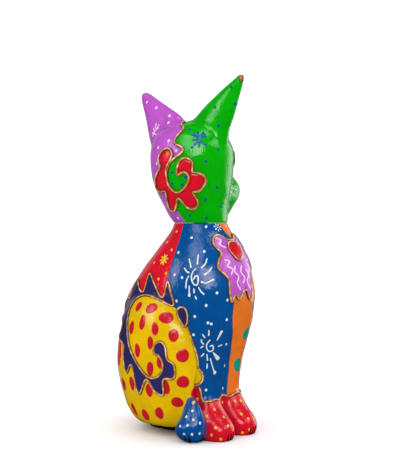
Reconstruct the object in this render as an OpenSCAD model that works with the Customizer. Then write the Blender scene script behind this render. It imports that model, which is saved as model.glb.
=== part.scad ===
// Alebrije figure: a seated cat, carved from wooden blocks, pegged, glued and painted.
// Frame: millimetres, +Z up, origin on the floor under the middle of the body.
// The chest faces -Y, the cat's right side is -X. The head turns about the neck dowel.

/* [Body] */
// Height of the flat seam between neck and head
neck_height = 176; // [170:1:182]
// Radius of the neck at the seam
neck_radius = 22.5; // [21:0.5:24]
// How far the neck dowel stands in front of the middle of the base
neck_forward = 16; // [14:1:18]
// Widest half width of the torso
torso_half_width = 43; // [41:0.5:45]
// How much further back the left hind leg is set than the right one
left_leg_back = 8; // [0:0.5:10]
// How much further back the left hind paw is set than the right one
left_paw_back = 15; // [8:0.5:17]
// How far the crease between the forelegs stands to the left of the middle
leg_crease = 3; // [0:0.5:5]
// How far each haunch bulges out from the middle plane
haunch_reach = 52.5; // [51:0.5:54]
// Distance of the flat glue face of each haunch from the middle plane
haunch_glue_face = 30; // [28:1:32]
// Half width of each front paw
paw_half_width = 13.5; // [12.5:0.5:14]

/* [Head] */
// Turn of the head to the cat's left, away from straight ahead
head_turn = 90; // [0:1:180]
// Widest half width of the skull
skull_half_width = 36.5; // [35:0.5:38]
// Height of the skull above the neck seam
skull_height = 85; // [83:1:87]
// How far the muzzle reaches forward of the neck dowel
muzzle_reach = 43; // [41:1:45]
// Height of the right ear tip above the neck seam
right_ear_height = 119.5; // [117:0.5:123]
// Height of the left ear tip above the neck seam
left_ear_height = 114.5; // [112:0.5:118]

/* [Pegs] */
// Radius of the neck dowel
dowel_radius = 6; // [5:0.5:7]
// Running clearance of the dowel in the head, on the radius
dowel_clearance = 0.08; // [0.05:0.01:0.1]
// Depth of the dowel in the torso
dowel_in_torso = 34; // [30:1:38]
// Depth of the dowel in the head
dowel_in_head = 30; // [26:1:34]
// Radius of the ear pegs
ear_peg_radius = 2.5; // [2:0.25:3]
// Radius of the tail peg
tail_peg_radius = 3; // [2.5:0.25:3.5]

/* [Ornament] */
// Thickness of the raised flowers and flame bands
relief = 1.8; // [1.4:0.1:2.4]

/* [Hidden] */

SIDES = 36;
STEPS = 2;
FAR = 400;
neck_y = -neck_forward;
base_y = neck_y + 16;

// ---- smooth lofts -------------------------------------------------------------

// Catmull-Rom value between b and c
function curve(a, b, c, d, t) =
    0.5 * (2 * b + (c - a) * t + (2 * a - 5 * b + 4 * c - d) * t * t
        + (3 * b - a - 3 * c + d) * t * t * t);

function pick(rows, i) = rows[max(0, min(len(rows) - 1, i))];

// Row of a table at a fractional place
function row_at(rows, place) =
    let (i = min(floor(place), len(rows) - 2), t = place - i)
    curve(pick(rows, i - 1), pick(rows, i), pick(rows, i + 1), pick(rows, i + 2), t);

function bent(v, power) = sign(v) * pow(abs(v), power);

// One level ring: row = [z, x, y, half width, front, back, squareness, crease]
function ring(row, grow, crease_at) = [
    for (k = [0 : SIDES - 1])
        let (
            angle = 360 * k / SIDES,
            c = bent(cos(angle), 2 / row[6]),
            s = bent(sin(angle), 2 / row[6]),
            side = (row[3] + grow) * c,
            depth = (s < 0 ? row[4] + grow : row[5] + grow) * s,
            notch = s < 0 ? row[7] * exp(-pow(side - crease_at, 2) / 30) : 0
        )
        [row[1] + side, row[2] + depth + notch, row[0]]
];

function loft_points(rows, grow, crease_at) = [
    for (place = [0 : 1 / STEPS : len(rows) - 1 + 0.001])
        each ring(row_at(rows, min(place, len(rows) - 1)), grow, crease_at)
];

function loft_faces(rings) = concat(
    [[for (k = [0 : SIDES - 1]) k]],
    [
        for (j = [0 : rings - 2], k = [0 : SIDES - 1])
            let (n = (k + 1) % SIDES)
            each [
                [j * SIDES + k, (j + 1) * SIDES + k, (j + 1) * SIDES + n],
                [j * SIDES + k, (j + 1) * SIDES + n, j * SIDES + n]
            ]
    ],
    [[for (k = [SIDES - 1 : -1 : 0]) (rings - 1) * SIDES + k]]
);

module loft(rows, grow = 0, crease_at = 0) {
    points = loft_points(rows, grow, crease_at);
    polyhedron(points, loft_faces(len(points) / SIDES), 10);
}

// Closed smooth outline through a few points
function outline(points, steps = 4) =
    let (n = len(points))
    [
        for (i = [0 : n - 1], t = [0 : 1 / steps : 0.999])
            curve(points[(i + n - 1) % n], points[i], points[(i + 1) % n],
                points[(i + 2) % n], t)
    ];

// ---- sections: [z, x, y, half width, front, back, squareness, crease] -----------

w = torso_half_width;
y0 = base_y;
torso_rows = [
    [0, 0, y0 + 12, w - 25, 30, 25, 2.4, 0],
    [5, 0, y0 + 12, w - 22, 32, 28, 2.4, 0],
    [11, 0, y0 + 10, w - 11, 38, 37.5, 2.4, 0],
    [30, 0, y0 + 9, w - 4, 42, 44, 2.3, 0],
    [60, 0, y0 + 9, w - 2, 46, 52.5, 2.2, 0],
    [88, 0, y0 + 2, w - 1, 52, 60.5, 2.2, 0],
    [110, 0, y0 - 7, w + 0.5, 56, 65, 2.2, 1],
    [130, 0, y0 - 12, w - 1, 49.5, 56, 2.1, 1.5],
    [148, 0, y0 - 15, w - 6, 41, 42, 2.1, 1],
    [161, 0, y0 - 16, w - 12.5, 32, 32, 2, 0],
    [170, 0, neck_y, neck_radius + 2.5, neck_radius + 3, neck_radius + 2.5, 2, 0],
    [neck_height, 0, neck_y, neck_radius, neck_radius, neck_radius, 2, 0]
];
leg_rows = [
    [0, 0, y0 - 28, 19, 12, 9, 2.6, 3],
    [5, 0, y0 - 27, 21, 14, 12, 2.6, 3.5],
    [12, 0, y0 - 24, 27, 19, 20, 2.8, 4.5],
    [36, 0, y0 - 24, 28.5, 20, 22, 2.8, 4.5],
    [60, 0, y0 - 24, 31.5, 23, 24, 2.7, 4],
    [84, 0, y0 - 23, 36, 32, 26, 2.5, 3.5],
    [104, 0, y0 - 20, 39.5, 40.5, 26, 2.4, 2],
    [124, 0, y0 - 18, 36, 41, 26, 2.3, 1]
];

h = haunch_reach;
haunch_rows = [
    [6.5, -22, y0 + 6, h - 40, 25, 21, 2.2, 0],
    [10, -24, y0 + 4, h - 35.5, 31, 29, 2.2, 0],
    [18, -24, y0 + 3, h - 30.5, 36, 36, 2.2, 0],
    [28, -24, y0 + 3, h - 27.5, 38.5, 40.5, 2.2, 0],
    [52, -24, y0 + 3, h - 24, 41, 48, 2.2, 0],
    [74, -24, y0 + 4, h - 24.5, 40.5, 46, 2.2, 0],
    [94, -24, y0 + 5, h - 25.5, 36, 39, 2.2, 0],
    [108, -24, y0 + 5, h - 28.5, 32, 31, 2.1, 0],
    [116, -24, y0 + 5, h - 32.5, 22, 20, 2, 0],
    [119, -24, y0 + 5, h - 37.5, 11, 10, 2, 0]
];

p = paw_half_width;
front_paw_rows = [
    [0, -15, y0 - 46, p - 2, 13, 16, 2.3, 0],
    [4, -15, y0 - 46, p, 15.2, 16, 2.3, 0],
    [9, -15, y0 - 46, p, 15.5, 16, 2.2, 0],
    [15, -15, y0 - 44, p - 0.5, 13.5, 16, 2.2, 0],
    [21, -15, y0 - 42, p - 1.5, 8.8, 16, 2.2, 0],
    [28, -15, y0 - 40, p - 3, 6, 16, 2.2, 0],
    [34, -15, y0 - 38, p - 5, 5, 12, 2.2, 0]
];
hind_paw_rows = [
    [0, -32.5, y0 - 36, 7, 7, 9, 2.2, 0],
    [4, -35, y0 - 36, 10, 11, 12, 2.2, 0],
    [12, -36.5, y0 - 35.5, 11, 13.2, 12, 2.2, 0],
    [18, -35.5, y0 - 36.5, 8.8, 12, 9, 2.2, 0],
    [26, -35, y0 - 37, 6, 8.6, 7, 2.1, 0],
    [31, -34.5, y0 - 37, 4, 5.4, 6, 2, 0],
    [34.5, -34.5, y0 - 36.5, 2.4, 3, 4, 2, 0]
];

// Head sections stand on the neck axis, face towards -Y
s = skull_half_width;
z0 = neck_height;
skull_rows = [
    [z0, 0, 0, neck_radius, neck_radius, neck_radius, 2, 0],
    [z0 + 6, 1, 1, neck_radius + 2.5, neck_radius + 1.5, neck_radius + 4, 2, 0],
    [z0 + 16, 1.5, 4, s - 9, 26, 29.5, 2, 0],
    [z0 + 31, 2, 7, s - 3.5, 30, 32.5, 2.1, 0],
    [z0 + 47, 2, 8, s - 1, 31.5, 34.5, 2.1, 0],
    [z0 + 62, 2, 8, s - 0.5, 30.5, 34, 2.1, 0],
    [z0 + 73, 2, 9, s - 5, 25, 30, 2.1, 0],
    [z0 + 81, 2, 9, s - 14, 18, 20, 2, 0],
    [z0 + skull_height, 2, 9, s - 27, 8, 9, 2, 0]
];
m = muzzle_reach;
muzzle_rows = [
    [z0 + 3, 0, -12, 10, m - 27, 14, 2, 0],
    [z0 + 9, 0, -14, 13, m - 23.5, 14, 2, 0],
    [z0 + 15, 0, -16, 15, m - 22.5, 14, 2.2, 0],
    [z0 + 23, 0, -18, 17.5, m - 19, 16, 2.4, 3.5],
    [z0 + 31, 0, -18, 18, m - 18, 16, 2.4, 2.5],
    [z0 + 37, 0, -18, 14, m - 19, 16, 2.2, 0],
    [z0 + 45, 0, -16, 10, m - 25, 14, 2, 0],
    [z0 + 56, 0, -14, 7, m - 31, 12, 2, 0],
    [z0 + 66, 0, -12, 5, m - 38, 10, 2, 0]
];
r = right_ear_height;
right_ear_rows = [
    [z0 + r - 54, -16, 9, 19, 12, 11, 2, 0],
    [z0 + r - 43, -16, 10, 22, 11, 9.5, 2, 1],
    [z0 + r - 32, -23, 10, 20.5, 9, 8.5, 2, 2],
    [z0 + r - 20, -33, 10, 15, 7, 7, 2, 2],
    [z0 + r - 9, -43.8, 10, 8.6, 4.6, 5, 2, 1],
    [z0 + r - 3, -49.6, 10, 4.6, 3.2, 3.2, 2, 0],
    [z0 + r, -51.4, 10, 2.2, 2, 2, 2, 0]
];
e = left_ear_height;
left_ear_rows = [
    [z0 + e - 60, 23, 9, 17, 15, 14, 2, 0],
    [z0 + e - 46, 27, 9, 20, 13.5, 12.5, 2, 0],
    [z0 + e - 34, 28.8, 10, 21.5, 11, 10.5, 2, 1],
    [z0 + e - 24, 33.2, 10, 20, 9.5, 9, 2, 2],
    [z0 + e - 16, 41, 10, 14.8, 8, 7.5, 2, 2],
    [z0 + e - 9, 48, 10, 10.2, 6, 6, 2, 2],
    [z0 + e - 3, 53.2, 10, 6, 4.4, 4.4, 2, 1],
    [z0 + e, 55.3, 10, 3.2, 3, 3, 2, 0]
];

// ---- tail: a tapering tube along a few stations [x, y, z, radius] ---------------

tail_stations = [
    [17, y0 + 42, 16, 8.5],
    [31, y0 + 50, 13, 9],
    [46, y0 + 43, 11, 9],
    [57, y0 + 27, 10, 9],
    [60, y0 + 8, 9.6, 8.6],
    [56, y0 - 8, 10.5, 7.2],
    [52, y0 - 15, 13, 4.5],
    [51, y0 - 18, 15, 1.8]
];
TAIL_SIDES = 20;
TAIL_STEPS = 4;

function unit(v) = v / norm(v);

function tail_ring(place) =
    let (
        here = row_at(tail_stations, place),
        ahead = row_at(tail_stations, min(place + 0.05, len(tail_stations) - 1)),
        behind = row_at(tail_stations, max(place - 0.05, 0)),
        along = unit([ahead[0] - behind[0], ahead[1] - behind[1], ahead[2] - behind[2]]),
        across = unit(cross(along, [0, 0, 1])),
        over = cross(across, along)
    )
    [
        for (k = [0 : TAIL_SIDES - 1])
            let (angle = 360 * k / TAIL_SIDES)
            [here[0], here[1], here[2]]
                + here[3] * (cos(angle) * across + sin(angle) * over)
    ];

module tail_tube() {
    count = (len(tail_stations) - 1) * TAIL_STEPS + 1;
    points = [for (j = [0 : count - 1]) each tail_ring(j / TAIL_STEPS)];
    faces = concat(
        [[for (k = [TAIL_SIDES - 1 : -1 : 0]) k]],
        [
            for (j = [0 : count - 2], k = [0 : TAIL_SIDES - 1])
                let (n = (k + 1) % TAIL_SIDES)
                each [
                    [j * TAIL_SIDES + k, (j + 1) * TAIL_SIDES + n, (j + 1) * TAIL_SIDES + k],
                    [j * TAIL_SIDES + k, j * TAIL_SIDES + n, (j + 1) * TAIL_SIDES + n]
                ]
        ],
        [[for (k = [0 : TAIL_SIDES - 1]) (count - 1) * TAIL_SIDES + k]]
    );
    polyhedron(points, faces, 10);
}

// ---- shared solids ----------------------------------------------------------------

module left_of(x) {
    translate([-FAR + x, -FAR / 2, -FAR / 4]) cube([FAR, FAR, FAR]);
}

module in_front_of(y) {
    translate([-FAR / 2, -FAR + y, -FAR / 4]) cube([FAR, FAR, FAR]);
}

module body_solid(grow = 0) {
    loft(torso_rows, grow);
    loft(leg_rows, grow, leg_crease);
}

paw_glue_face = y0 - 38;
paw_split = -28;

// Puts a right hind leg piece on the left side
module on_left(back = left_leg_back) {
    translate([0, back, 0]) mirror([1, 0, 0]) children();
}

module front_paw_solid() {
    intersection() {
        loft(front_paw_rows);
        in_front_of(paw_glue_face);
        mirror([1, 0, 0]) left_of(-paw_split);
    }
}

module hind_paw_solid() {
    intersection() {
        loft(hind_paw_rows);
        left_of(paw_split);
    }
}

module haunch_solid(grow = 0) {
    intersection() {
        loft(haunch_rows, grow);
        left_of(-haunch_glue_face);
    }
}

module to_head() {
    translate([0, neck_y, 0]) rotate([0, 0, head_turn]) children();
}

module skull_solid(grow = 0) {
    loft(skull_rows, grow);
    if (grow == 0) loft(muzzle_rows);
}

// Pegs run from the skull into each ear, and from the rump into the tail
tail_peg_length = 25;
ear_peg_length = 26;
ear_peg_tilt = 28;

module right_peg_place() {
    translate([-14, 9, z0 + 62]) rotate([0, -ear_peg_tilt, 0]) children();
}

module left_peg_place() {
    translate([17, 9, z0 + 58]) rotate([0, ear_peg_tilt + 8, 0]) children();
}

module ear_peg_solid() {
    cylinder(h = ear_peg_length, r = ear_peg_radius, $fn = 32);
}

module tail_peg_solid() {
    translate([4, y0 + 33, 15]) rotate([0, 90, 35])
        cylinder(h = tail_peg_length, r = tail_peg_radius, $fn = 32);
}

module dowel_solid(radius) {
    translate([0, neck_y, neck_height - dowel_in_torso])
        cylinder(h = dowel_in_torso + dowel_in_head, r = radius, $fn = 48);
}

// ---- ornament outlines ------------------------------------------------------------

// Chest flower, seen from the front: x across, z up
chest_outline = outline([
    [-1, 161.5], [-4.5, 162], [-8, 165.5], [-12.5, 165], [-16.5, 161], [-17, 155.5], [-15, 151],
    [-19, 146], [-21, 139], [-17, 134], [-15, 129], [-16, 120], [-14, 112], [-11, 119],
    [-7, 114], [-2, 120], [3, 121], [7, 113], [10, 118], [11, 128], [15, 135], [20, 139],
    [19, 147], [15, 152], [18, 158], [15, 165], [9, 166], [5, 162]
], 2);
heart_outline = outline([
    [0, 160], [5, 159], [7.5, 153], [4, 147], [0, 145], [-4, 147], [-7.5, 153], [-5, 159]
], 3);

// Head flower, seen from behind: [across, up, half width, half height, tilt]
petals = [
    [-11.5, 18.5, 6.8, 9, 18],
    [-19, 0.5, 6.5, 10.5, 0],
    [-10.3, -16, 7.2, 9.3, -10],
    [5, -15.6, 7.6, 9.8, 30],
    [12.8, -1, 8, 7.8, -10],
    [5, 10, 6.8, 8.5, -25]
];
flower_turn = 23;
flower_height = 35;

function petal(wide, high) = [
    for (a = [0 : 24 : 359]) [wide * bent(cos(a), 0.9), high * bent(sin(a), 0.9)]
];

// Flame band of the haunch, seen from the right: y across, z up
flame_band = outline([
    [-23, 109], [-21, 118], [-17, 129], [-14, 117], [-10, 116], [-3, 125], [6, 134],
    [9, 124], [11, 118], [18, 121], [25, 128], [31, 120], [31, 112], [37, 112],
    [43, 106], [37, 96], [31, 90], [36, 79], [26, 74], [26, 62], [22, 51], [14, 59],
    [8, 35], [-2, 49], [-9, 40], [-17, 37], [-18, 50], [-26, 51], [-26, 62], [-21, 66],
    [-19, 76], [-15, 80], [-10, 77], [-10, 70], [-14, 69], [-18, 61], [-15, 53], [-8, 50],
    [0, 53], [11, 64], [18, 74], [22, 88], [23, 101], [20, 110], [12, 115], [2, 116], [-10, 113]
], 2);
flame_lobe = outline([
    [-26, 101], [-26, 105.5], [-29, 108.5], [-33, 107.5], [-34.5, 102], [-33.5, 95], [-30.5, 92]
], 2);

// ---- the pieces -------------------------------------------------------------------

module torso() {
    color([0.04, 0.39, 0.72])
        difference() {
            body_solid();
            haunch_solid();
            on_left() haunch_solid();
            front_paw_solid();
            mirror([1, 0, 0]) front_paw_solid();
            hind_paw_solid();
            on_left(left_paw_back) hind_paw_solid();
            dowel_solid(dowel_radius);
            tail_peg_solid();
        }
}

// Haunch block, hollowed where a paw set further back fits under it
module one_haunch(paw_back) {
    difference() {
        haunch_solid();
        translate([0, paw_back, 0]) hind_paw_solid();
    }
}

module right_haunch() {
    color([0.95, 0.8, 0.05]) one_haunch(0);
}

module left_haunch() {
    color([0.95, 0.8, 0.05]) on_left() one_haunch(left_paw_back - left_leg_back);
}

module right_front_paw() {
    color([0.91, 0.08, 0.18]) front_paw_solid();
}

module left_front_paw() {
    color([0.91, 0.08, 0.18]) mirror([1, 0, 0]) front_paw_solid();
}

module right_hind_paw() {
    color([0.04, 0.39, 0.72]) hind_paw_solid();
}

module left_hind_paw() {
    color([0.04, 0.39, 0.72]) on_left(left_paw_back) hind_paw_solid();
}

module tail() {
    color([0.94, 0.46, 0.16])
        difference() {
            tail_tube();
            body_solid();
            on_left() haunch_solid();
            tail_peg_solid();
        }
}

module tail_peg() {
    color([0.8, 0.65, 0.42]) tail_peg_solid();
}

module neck_dowel() {
    color([0.8, 0.65, 0.42]) dowel_solid(dowel_radius);
}

module head() {
    color([0.04, 0.7, 0.04])
        difference() {
            to_head() {
                difference() {
                    skull_solid();
                    right_peg_place() ear_peg_solid();
                    left_peg_place() ear_peg_solid();
                }
            }
            dowel_solid(dowel_radius + dowel_clearance);
        }
}

module right_ear() {
    color([0.04, 0.7, 0.04])
        to_head()
            difference() {
                loft(right_ear_rows);
                loft(skull_rows);
                right_peg_place() ear_peg_solid();
            }
}

module left_ear() {
    color([0.8, 0.38, 0.85])
        to_head()
            difference() {
                loft(left_ear_rows);
                loft(skull_rows);
                left_peg_place() ear_peg_solid();
            }
}

module right_ear_peg() {
    color([0.8, 0.65, 0.42]) to_head() right_peg_place() ear_peg_solid();
}

module left_ear_peg() {
    color([0.8, 0.65, 0.42]) to_head() left_peg_place() ear_peg_solid();
}

module head_flower() {
    color([0.91, 0.08, 0.18])
        to_head()
            difference() {
                intersection() {
                    loft(skull_rows, relief);
                    translate([2, 8, z0 + flower_height]) rotate([90, 0, 180 + flower_turn])
                        linear_extrude(60)
                            for (one = petals)
                                translate([one[0], one[1]]) rotate(one[4])
                                    polygon(petal(one[2], one[3]));
                }
                loft(skull_rows);
            }
}

module on_chest(grow) {
    difference() {
        intersection() {
            body_solid(grow);
            translate([0, y0 - 20, 0]) rotate([90, 0, 0]) linear_extrude(60) children();
        }
        body_solid();
    }
}

module chest_flower() {
    color([0.8, 0.38, 0.85])
        on_chest(relief)
            difference() {
                polygon(chest_outline);
                polygon(heart_outline);
            }
}

module chest_heart() {
    color([0.91, 0.08, 0.18]) on_chest(relief + 1) polygon(heart_outline);
}

// Flame band on the right flank, for a leg set back by some distance
module flame(back) {
    difference() {
        intersection() {
            union() {
                loft(torso_rows, relief);
                translate([0, back, 0]) loft(haunch_rows, relief);
            }
            translate([-haunch_glue_face + 6, back, 0]) rotate([90, 0, -90])
                linear_extrude(60) {
                    polygon([for (q = flame_band) [-q[0], q[1]]]);
                    polygon([for (q = flame_lobe) [-q[0], q[1]]]);
                }
        }
        translate([0, back, 0]) loft(haunch_rows);
        body_solid();
    }
}

module right_haunch_flame() {
    color([0.2, 0.19, 0.42]) flame(0);
}

module left_haunch_flame() {
    color([0.2, 0.19, 0.42]) mirror([1, 0, 0]) flame(left_leg_back);
}

torso();
right_haunch();
left_haunch();
right_front_paw();
left_front_paw();
right_hind_paw();
left_hind_paw();
tail();
tail_peg();
neck_dowel();
head();
right_ear();
left_ear();
right_ear_peg();
left_ear_peg();
head_flower();
chest_flower();
chest_heart();
right_haunch_flame();
left_haunch_flame();
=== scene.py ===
"""Looks of the painted wooden cat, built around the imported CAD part. Metres, the CAD frame."""

import math

import bpy
import numpy as np
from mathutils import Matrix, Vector, noise
from mathutils.bvhtree import BVHTree


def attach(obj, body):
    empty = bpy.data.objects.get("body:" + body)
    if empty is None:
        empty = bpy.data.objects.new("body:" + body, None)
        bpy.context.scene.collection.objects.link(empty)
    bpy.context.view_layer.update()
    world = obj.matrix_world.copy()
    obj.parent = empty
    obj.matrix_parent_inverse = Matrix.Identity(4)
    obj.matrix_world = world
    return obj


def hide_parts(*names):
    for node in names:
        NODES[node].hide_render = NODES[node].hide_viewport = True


# ---- camera ------------------------------------------------------------------

MM = 0.001
SENSOR_WIDTH = 36
LENS = 70.98
VIEW_AZIMUTH = -50.0
VIEW_DISTANCE = 0.78
EYE_HEIGHT = 0.176
AIM_HEIGHT = 0.170
AIM_SIDE = 0.0192


def compass(azimuth):
    """Level direction at an angle from the chest's side, positive towards the cat's left."""
    a = math.radians(azimuth)
    return Vector((math.sin(a), -math.cos(a), 0))


def make_camera():
    data = bpy.data.cameras.new("camera")
    data.sensor_width = SENSOR_WIDTH
    data.sensor_fit = "AUTO"
    data.lens = LENS
    camera = bpy.data.objects.new("camera", data)
    bpy.context.scene.collection.objects.link(camera)
    bpy.context.scene.camera = camera
    aside = compass(VIEW_AZIMUTH + 90) * AIM_SIDE
    camera.location = compass(VIEW_AZIMUTH) * VIEW_DISTANCE + aside + Vector((0, 0, EYE_HEIGHT))
    target = aside + Vector((0, 0, AIM_HEIGHT))
    camera.rotation_euler = (target - camera.location).to_track_quat("-Z", "Y").to_euler()


make_camera()
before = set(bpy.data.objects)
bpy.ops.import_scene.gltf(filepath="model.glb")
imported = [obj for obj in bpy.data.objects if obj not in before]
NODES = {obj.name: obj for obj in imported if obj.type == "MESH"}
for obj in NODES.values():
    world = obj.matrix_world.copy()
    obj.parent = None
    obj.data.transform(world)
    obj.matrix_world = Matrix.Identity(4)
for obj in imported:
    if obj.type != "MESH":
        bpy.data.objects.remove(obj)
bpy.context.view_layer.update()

# ---- places on the cat, in millimetres ---------------------------------------

# The neck dowel's axis, the seam that the head turns on, and the head's bore
NECK_Y = -16.0
SEAM = 176.0
SEAM_GAP = 0.06
BORE_RADIUS = 6.5
DOWEL_TOP = 206.0
# The skull's middle, in the head's own frame
SKULL_X = 2.0
SKULL_Y = 8.0
# How far the left haunch and the left hind paw sit behind the right ones
LEFT_BACK = 8.0
PAW_BACK = 15.0
# The flower on the back of the head: degrees round the skull, and height over the seam
FLOWER_TURN = 23.0
FLOWER_HEIGHT = 35.0
# Where the eyes sit: degrees from the back of the skull, and height over the seam
EYE_ANGLE = 140
EYE_RISE = 55
# A ray that meets nothing looks for the nearest place this far along
RAY_REACH = 130
# A motif's flat chart takes in the skin this far above and below its place
CHART_DEPTH = 14
# Signed distance given to all that lies outside a painted shape
OUTSIDE = -30.0
# How high the cords of gold paint stand, as radii
FINE_CORD = 0.95
FLAME_CORD = 1.0
CHEST_CORD = 1.15
FLOWER_CORD = 1.2
CROWN_CORD = 1.25
FACE_CORD = 0.9
COARSE = 1.0


def head_world(x, y, z):
    """Head's own frame, face towards -y, to the row frame."""
    return np.array((-y, x + NECK_Y, z), float)


def head_local(p):
    """Row frame points to the head's own frame."""
    return np.stack((p[:, 1] - NECK_Y, -p[:, 0], p[:, 2]), 1)


def catmull(a, b, c, d, t):
    return 0.5 * (
        2 * b + (c - a) * t + (2 * a - 5 * b + 4 * c - d) * t * t + (3 * b - a - 3 * c + d) * t ** 3
    )


def spline(points, closed=False, steps=8):
    """Smooth curve through a few points of any dimension."""
    pts = [np.asarray(p, float) for p in points]
    n = len(pts)
    out = []
    for i in range(n if closed else n - 1):
        if closed:
            a, b, c, d = pts[i - 1], pts[i], pts[(i + 1) % n], pts[(i + 2) % n]
        else:
            a, b, c, d = pts[max(i - 1, 0)], pts[i], pts[i + 1], pts[min(i + 2, n - 1)]
        for k in range(steps):
            out.append(catmull(a, b, c, d, k / steps))
    if not closed:
        out.append(pts[-1])
    return np.array(out)


def step(x, low, high):
    t = np.clip((x - low) / (high - low), 0, 1)
    return t * t * (3 - 2 * t)


# ---- meshes ------------------------------------------------------------------


def mesh_arrays(mesh):
    """Vertices in millimetres and faces of a mesh."""
    co = np.empty(len(mesh.vertices) * 3, np.float32)
    mesh.vertices.foreach_get("co", co)
    faces = [tuple(p.vertices) for p in mesh.polygons]
    return co.reshape(-1, 3).astype(float) / MM, faces


def new_object(name, points, faces, smooth=True):
    mesh = bpy.data.meshes.new(name)
    mesh.from_pydata((np.asarray(points) * MM).tolist(), [], faces)
    mesh.update()
    if smooth:
        mesh.polygons.foreach_set("use_smooth", [True] * len(mesh.polygons))
    obj = bpy.data.objects.new(name, mesh)
    bpy.context.scene.collection.objects.link(obj)
    return obj


def write(mesh, name, values):
    data = mesh.attributes.new(name, "FLOAT", "POINT").data
    data.foreach_set("value", np.asarray(values, np.float32))


def joined(names):
    points = []
    faces = []
    start = 0
    for name in names:
        p, f = mesh_arrays(NODES[name].data)
        faces += [tuple(i + start for i in face) for face in f]
        points.append(p)
        start += len(p)
    return np.concatenate(points), faces


def tree(points, faces):
    return BVHTree.FromPolygons([tuple(p) for p in points], faces)


def remeshed(names, voxel):
    """One even quad skin around some CAD nodes."""
    points, faces = joined(names)
    obj = new_object("blank", points, faces, smooth=False)
    mod = obj.modifiers.new("even", "REMESH")
    mod.mode = "VOXEL"
    mod.voxel_size = voxel * COARSE * MM
    evaluated = obj.evaluated_get(bpy.context.evaluated_depsgraph_get())
    mesh = bpy.data.meshes.new_from_object(evaluated)
    points, faces = mesh_arrays(mesh)
    bpy.data.objects.remove(obj)
    bpy.data.meshes.remove(mesh)
    return points, faces


def edge_array(faces):
    """Each edge of a list of faces, once."""
    pairs = set()
    for face in faces:
        for a, b in zip(face, face[1:] + face[:1]):
            pairs.add((a, b) if a < b else (b, a))
    return np.array(sorted(pairs))


def relaxed(points, edges, weight, passes):
    """Evens out a surface; weight says how much each vertex may move."""
    n = len(points)
    a, b = edges.T
    count = np.bincount(a, minlength=n) + np.bincount(b, minlength=n)
    points = points.copy()
    for _ in range(max(1, int(passes / COARSE ** 2))):
        mean = np.stack(
            [
                (np.bincount(a, points[b, k], n) + np.bincount(b, points[a, k], n)) / count
                for k in range(3)
            ],
            1,
        )
        points += 0.5 * weight[:, None] * (mean - points)
    return points


def vertex_normals(points, faces):
    mesh = bpy.data.meshes.new("normals")
    mesh.from_pydata(points.tolist(), [], faces)
    mesh.update()
    out = np.empty(len(points) * 3, np.float32)
    mesh.vertex_normals.foreach_get("vector", out)
    bpy.data.meshes.remove(mesh)
    return out.reshape(-1, 3).astype(float)


def ripple(points, scale, seed):
    """Slow noise from -1 to 1, the same on each run."""
    shift = Vector((seed * 7.3, seed * 3.1, seed * 5.7))
    return np.array([noise.noise(Vector(p) / scale + shift) for p in points])


def distance_to(points, names):
    p, f = joined(names)
    near = tree(p, f)
    return np.array([near.find_nearest(Vector(q))[3] for q in points])


class Skin:
    """A carved and sanded surface that several CAD nodes share."""

    def __init__(self, nodes, voxel, passes, soft=None):
        points, faces = remeshed(nodes, voxel)
        edges = edge_array(faces)
        weight = np.ones(len(points)) if soft is None else soft(points)
        points = relaxed(points, edges, weight, passes)
        normals = vertex_normals(points, faces)
        carve = 0.28 * ripple(points, 13.0, 1) + 0.12 * ripple(points, 5.0, 2)
        self.faces = faces
        self.paint = {}
        self.moved(points + normals * (carve * np.minimum(weight, 1))[:, None])

    def moved(self, points):
        """Takes new places for all the points."""
        self.points = points
        self.normals = vertex_normals(points, self.faces)
        self.tree = tree(points, self.faces)

    def hit(self, origin, direction):
        origin = Vector(origin)
        way = Vector(direction)
        spot, normal = self.tree.ray_cast(origin, way)[:2]
        if spot is None:
            return self.near(origin + way.normalized() * RAY_REACH)
        return np.array(spot), np.array(normal)

    def near(self, point):
        spot, normal = self.tree.find_nearest(Vector(point))[:2]
        return np.array(spot), np.array(normal)

    def add(self, name, distance):
        """Joins a painted shape to one colour's signed distance, positive inside."""
        if name in self.paint:
            self.paint[name] = np.maximum(self.paint[name], distance)
        else:
            self.paint[name] = np.maximum(distance, OUTSIDE)


# ---- painted motifs: signed distances in millimetres, positive inside --------


def tangents(normal):
    normal = normal / np.linalg.norm(normal)
    across = np.cross((0, 0, 1), normal)
    if np.linalg.norm(across) < 0.05:
        across = np.array((1.0, 0, 0))
    across /= np.linalg.norm(across)
    return across, np.cross(normal, across)


def flat_chart(skin, place):
    """The skin's points in the tangent plane of a place on it, far points left out."""
    spot, normal = place
    u, v = tangents(normal)
    rel = skin.points - spot
    facing = (skin.normals @ normal) > 0.15
    near = (np.abs(rel @ normal) < CHART_DEPTH) & facing
    return np.stack((rel @ u, rel @ v), 1), near


def oval(skin, colour, place, wide, high, turn=0.0, wobble=0.06, seed=0):
    """A dot or spot dabbed on with a full brush."""
    q, near = flat_chart(skin, place)
    t = math.radians(turn)
    a = (q[:, 0] * math.cos(t) + q[:, 1] * math.sin(t)) / wide
    b = (-q[:, 0] * math.sin(t) + q[:, 1] * math.cos(t)) / high
    angle = np.arctan2(b, a)
    edge = 1 + wobble * np.sin(2 * angle + seed * 1.7) + 0.5 * wobble * np.sin(3 * angle + seed * 2.9)
    inside = (edge - np.hypot(a, b)) * min(wide, high)
    skin.add(colour, np.where(near, inside, OUTSIDE))


def dabs(skin, colour, places, wide, high, turn=0.0):
    """Dots of one size, no two quite alike."""
    for k, place in enumerate(places):
        oval(skin, colour, place, wide, high, turn, seed=k)


def segments(q, line, radii):
    """Signed distance to a line of varying width in a flat chart."""
    best = np.full(len(q), OUTSIDE)
    for a, b, ra, rb in zip(line[:-1], line[1:], radii[:-1], radii[1:]):
        d = b - a
        t = np.clip(((q - a) @ d) / max(d @ d, 1e-9), 0, 1)
        gap = np.linalg.norm(q - (a + t[:, None] * d), axis=1)
        best = np.maximum(best, ra + (rb - ra) * t - gap)
    return best


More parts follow.
